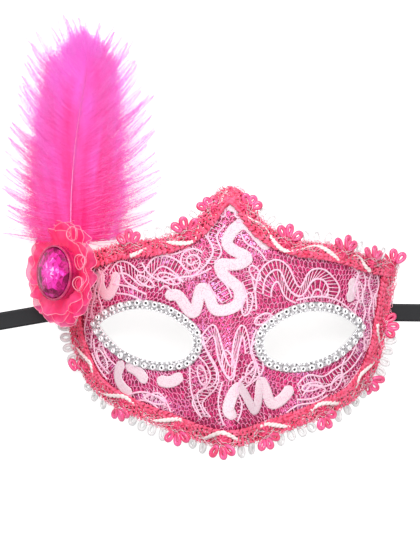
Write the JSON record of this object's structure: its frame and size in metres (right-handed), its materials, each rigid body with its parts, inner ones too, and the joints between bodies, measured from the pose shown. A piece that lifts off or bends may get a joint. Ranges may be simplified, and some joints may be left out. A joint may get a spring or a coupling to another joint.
{
  "type": "venetian masquerade mask",
  "caption": "Half-face masquerade mask with lace overlay, braided trim, studded eye openings, a side rosette with a gem, a plume and ribbon ties.",
  "frame": {"origin": "on the table under the middle of the mask, level with the eyes; the mask lies on its back on its temple edges", "axes": "+Z out of the face, +Y up to the forehead, +X to the viewer's right"},
  "size_m": [0.4443, 0.2688, 0.0764],
  "materials": {
    "moulded_board": "moulded papier mache board, matt off-white",
    "glitter_cloth": "magenta glitter cloth",
    "lace": "pale pink and white machine lace",
    "coral_knit": "coral knitted braid",
    "white_satin_cord": "white satin cord",
    "coral_satin_cord": "glossy coral cord",
    "clear_picot": "clear white nylon loops",
    "silver_tape": "silver tape",
    "silver_stud": "bright silver coating",
    "black_satin": "black satin ribbon",
    "felt": "pink felt",
    "organza": "coral pink organza",
    "organza_edge": "wired organza edge",
    "gem_foil": "mirror foil behind a clear rim",
    "gem_acrylic": "faceted magenta acrylic",
    "quill": "pale pink quill",
    "plume": "hot pink marabou down"
  },
  "bodies": {
    "root": {"mask_shell": "moulded_board", "face_cloth": "glitter_cloth", "lace_overlay": "lace", "top_braid": "coral_knit", "lower_braid": "coral_knit", "top_wavy_cord": "white_satin_cord", "lower_wavy_cord": "white_satin_cord", "top_flower_centres": "coral_knit", "lower_flower_centres": "coral_knit", "top_flower_petals": "coral_satin_cord", "lower_flower_petals": "coral_satin_cord", "top_picots": "clear_picot", "lower_picots": "clear_picot", "left_eye_band": "silver_tape", "left_eye_studs": "silver_stud", "left_eye_beads": "silver_stud", "right_eye_band": "silver_tape", "right_eye_studs": "silver_stud", "right_eye_beads": "silver_stud", "left_ribbon": "black_satin", "left_ribbon_loop": "black_satin", "left_ribbon_tail": "black_satin", "right_ribbon": "black_satin", "right_ribbon_loop": "black_satin", "right_ribbon_tail": "black_satin", "rosette_felt": "felt", "rosette_outer_ruffle": "organza", "rosette_middle_ruffle": "organza", "rosette_curls": "organza_edge", "gem_setting": "gem_foil", "gem": "gem_acrylic", "feather_quill": "quill", "feather_left_vane": "plume", "feather_right_vane": "plume"}
  },
  "joints": []
}
